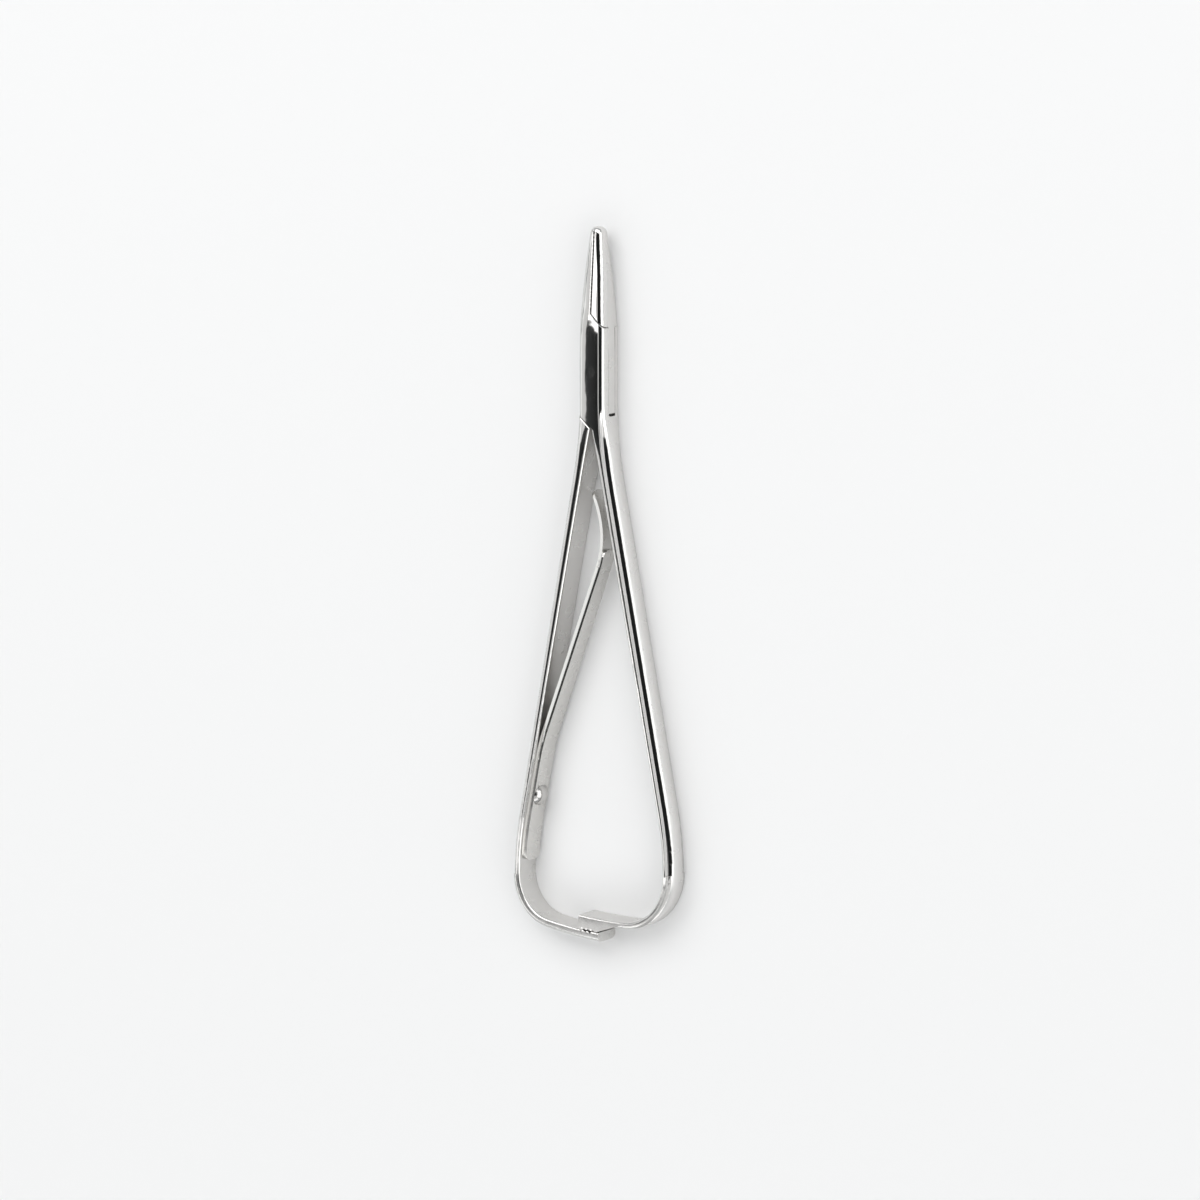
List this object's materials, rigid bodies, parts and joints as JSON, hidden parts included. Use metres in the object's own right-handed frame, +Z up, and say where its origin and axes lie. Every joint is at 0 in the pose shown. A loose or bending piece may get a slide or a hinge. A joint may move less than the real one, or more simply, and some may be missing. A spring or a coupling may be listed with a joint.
{
  "type": "surgical needle holder",
  "caption": "Slim ratcheted needle holder with blunt tapered jaws, a box lock, spring-opened plier handles and overlapping hooks at the foot.",
  "frame": {"origin": "on the pivot axis, at the underside that the instrument lies on", "axes": "+Y towards the jaw tips, +X across the instrument towards the handle of the box half, +Z up through its depth along the pivot axis"},
  "size_m": [0.0399, 0.14, 0.0053],
  "materials": {
    "polished_steel": "polished",
    "spring_steel": "satin",
    "rivet_steel": "polished"
  },
  "bodies": {
    "box_side": {"box_half": "polished_steel", "pivot_pin": "polished_steel"},
    "tongue_side": {"tongue_half": "polished_steel", "main_spring": "spring_steel", "short_spring": "spring_steel", "spring_rivet": "rivet_steel"}
  },
  "joints": [
    {"name": "box_lock", "type": "hinge", "parent": "box_side", "child": "tongue_side", "pos_m": [0, 0, 0.00265], "axis": [0, 0, -1], "range_deg": [0, 16]}
  ]
}
